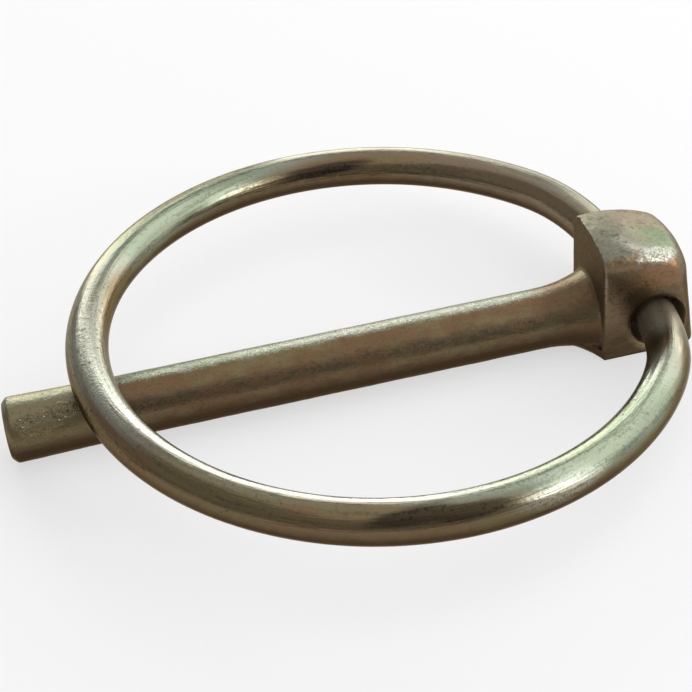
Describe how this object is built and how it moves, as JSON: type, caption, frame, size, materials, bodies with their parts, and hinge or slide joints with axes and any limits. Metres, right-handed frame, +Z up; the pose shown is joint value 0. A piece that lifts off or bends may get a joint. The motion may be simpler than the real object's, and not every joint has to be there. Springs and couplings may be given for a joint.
{
  "type": "lynch pin",
  "caption": "Forged steel locking pin with a plain round shank and a drilled D-shaped head that carries a springy wire ring closing over the nose",
  "frame": {"origin": "On the shank's axis, under the middle of the closed ring", "axes": "+X runs along the pin from nose to head, +Y across the head along its bore, +Z up out of the side on which the ring is closed"},
  "size_m": [0.05, 0.044, 0.0092],
  "materials": {
    "pin_steel": "worn yellow-passivated zinc over forged steel",
    "ring_wire": "worn yellow-passivated zinc over drawn spring wire"
  },
  "bodies": {
    "pin": {"pin": "pin_steel"},
    "ring": {"spring_ring": "ring_wire"}
  },
  "joints": [
    {"name": "ring_hinge", "type": "hinge", "parent": "pin", "child": "ring", "pos_m": [0.0198, 0, 0.0002], "axis": [0, 1, 0], "range_deg": [0, 165], "stiffness_Nm_per_rad": 0.02, "springref_deg": -20.05}
  ]
}
